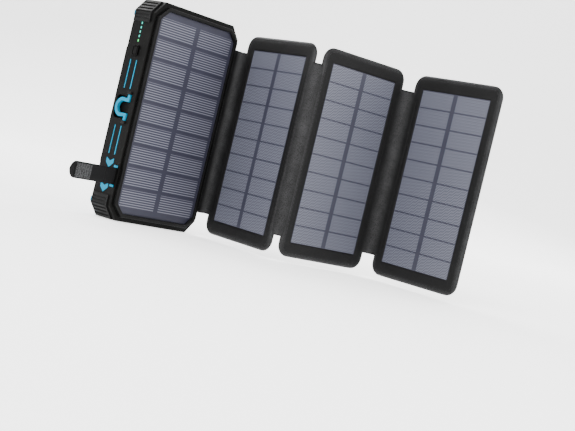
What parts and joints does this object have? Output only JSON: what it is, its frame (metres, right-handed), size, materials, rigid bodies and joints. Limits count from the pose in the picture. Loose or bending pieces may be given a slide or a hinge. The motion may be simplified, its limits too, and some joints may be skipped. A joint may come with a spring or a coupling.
{
  "type": "solar phone charger",
  "caption": "Rugged solar power bank opened like a folding screen, with hinged solar panels, captive flat charging leads, a hang loop, a closing strap and a lamp.",
  "frame": {"origin": "middle of the case's cable end, on the face that it stands on", "axes": "+Z along the case towards the lamp end, solar side of the case faces -Y, lead side faces +Y, the panels unfold from the +X side"},
  "size_m": [0.2225, 0.2189, 0.16],
  "materials": {
    "case_plastic": "satin moulded",
    "bezel_plastic": "fine texture",
    "black_rubber": "matt",
    "cyan_trim": "satin",
    "blue_tray": "gloss",
    "solar_film": "laminated cells",
    "bright_metal": "brushed",
    "label_film": "satin",
    "lamp_diffuser": "frosted",
    "white_board": "solder mask",
    "cell_foil": "foil",
    "green_board": "solder mask",
    "light_guide": "clear",
    "strap_leather": "fine grain",
    "panel_leather": "fine grain",
    "hook_tape": "hooks",
    "loop_tape": "loops",
    "lead_jacket": "smooth",
    "wire_jacket": "smooth",
    "button_rubber": "matt",
    "plug_metal": "plated",
    "plug_board": "satin",
    "stiff_board": "pressed board"
  },
  "bodies": {
    "case": {"case_back_shell": "case_plastic", "case_front_shell": "case_plastic", "case_gasket": "black_rubber", "front_bezel": "bezel_plastic", "main_solar_film": "solar_film", "corner_bumpers": "black_rubber", "corner_trims": "cyan_trim", "channel_ribs": "cyan_trim", "finger_trays": "blue_tray", "grip_pads": "black_rubber", "grip_pad_trims": "cyan_trim", "screw_covers": "black_rubber", "case_screws": "bright_metal", "label_plate": "label_film", "label_frame": "cyan_trim", "lamp_lens": "lamp_diffuser", "lamp_ring": "cyan_trim", "lamp_board": "white_board", "battery_cells": "cell_foil", "main_board": "green_board", "button_switch": "bright_metal", "charge_lights": "light_guide", "side_trim": "cyan_trim", "strap_anchor": "case_plastic", "strap_root": "strap_leather", "loop_anchors": "black_rubber", "fold_anchor": "panel_leather", "lead_stubs": "lead_jacket", "film_wires": "wire_jacket"},
    "button": {"power_button": "button_rubber"},
    "loop": {"hang_loop": "cyan_trim"},
    "lead_1": {"lead_1_cable": "lead_jacket", "lead_1_grip": "lead_jacket", "lead_1_plug": "plug_metal"},
    "lead_2": {"lead_2_cable": "lead_jacket", "lead_2_grip": "lead_jacket", "lead_2_plug": "plug_metal"},
    "lead_3": {"lead_3_cable": "lead_jacket", "lead_3_grip": "lead_jacket", "lead_3_plug": "plug_metal"},
    "lead_4": {"lead_4_cable": "lead_jacket", "lead_4_grip": "lead_jacket", "lead_4_plug": "plug_board"},
    "panel_1": {"panel_1_frame": "panel_leather", "panel_1_film": "solar_film", "panel_1_board": "stiff_board", "panel_1_cover": "panel_leather"},
    "panel_2": {"panel_2_frame": "panel_leather", "panel_2_film": "solar_film", "panel_2_board": "stiff_board", "panel_2_cover": "panel_leather"},
    "panel_3": {"panel_3_frame": "panel_leather", "panel_3_film": "solar_film", "panel_3_board": "stiff_board", "panel_3_cover": "panel_leather", "loop_patch": "loop_tape"},
    "strap_middle": {"strap_side": "strap_leather"},
    "strap_end": {"strap_tip": "strap_leather", "hook_patch": "hook_tape"}
  },
  "joints": [
    {"name": "fold_1", "type": "hinge", "parent": "case", "child": "panel_1", "pos_m": [0.04775, -0.0137, 0.08], "axis": [0, 0, -1], "range_deg": [-100, 80]},
    {"name": "fold_2", "type": "hinge", "parent": "panel_1", "child": "panel_2", "pos_m": [0.03687, -0.10073, 0.08], "axis": [0, 0, 1], "range_deg": [-91, 89]},
    {"name": "fold_3", "type": "hinge", "parent": "panel_2", "child": "panel_3", "pos_m": [0.1227, -0.11878, 0.08], "axis": [0, 0, -1], "range_deg": [-85, 95]},
    {"name": "strap_root_bend", "type": "hinge", "parent": "case", "child": "strap_middle", "pos_m": [-0.04505, -0.008, 0.031], "axis": [0, 0, 1], "range_deg": [-61, 74]},
    {"name": "strap_end_bend", "type": "hinge", "parent": "strap_middle", "child": "strap_end", "pos_m": [-0.06591, -0.01398, 0.031], "axis": [0, 0, 1], "range_deg": [-45, 90]},
    {"name": "loop_swing", "type": "hinge", "parent": "case", "child": "loop", "pos_m": [-0.04285, -0.00465, 0.0805], "axis": [0, 0, 1], "range_deg": [0, 90]},
    {"name": "button_press", "type": "slide", "parent": "case", "child": "button", "axis": [1, 0, 0], "range_m": [0, 0.0005], "stiffness_N_per_m": 600, "springref_m": -0.0005},
    {"name": "lead_1_lift", "type": "hinge", "parent": "case", "child": "lead_1", "pos_m": [0.0192, 0.0121, 0.0024], "axis": [-1, 0, 0], "range_deg": [0, 90]},
    {"name": "lead_2_lift", "type": "hinge", "parent": "case", "child": "lead_2", "pos_m": [0.0064, 0.0121, 0.0024], "axis": [-1, 0, 0], "range_deg": [0, 90]},
    {"name": "lead_3_lift", "type": "hinge", "parent": "case", "child": "lead_3", "pos_m": [-0.0062, 0.0121, 0.0024], "axis": [-1, 0, 0], "range_deg": [0, 90]},
    {"name": "lead_4_lift", "type": "hinge", "parent": "case", "child": "lead_4", "pos_m": [-0.0192, 0.0121, 0.0024], "axis": [-1, 0, 0], "range_deg": [0, 90]}
  ]
}
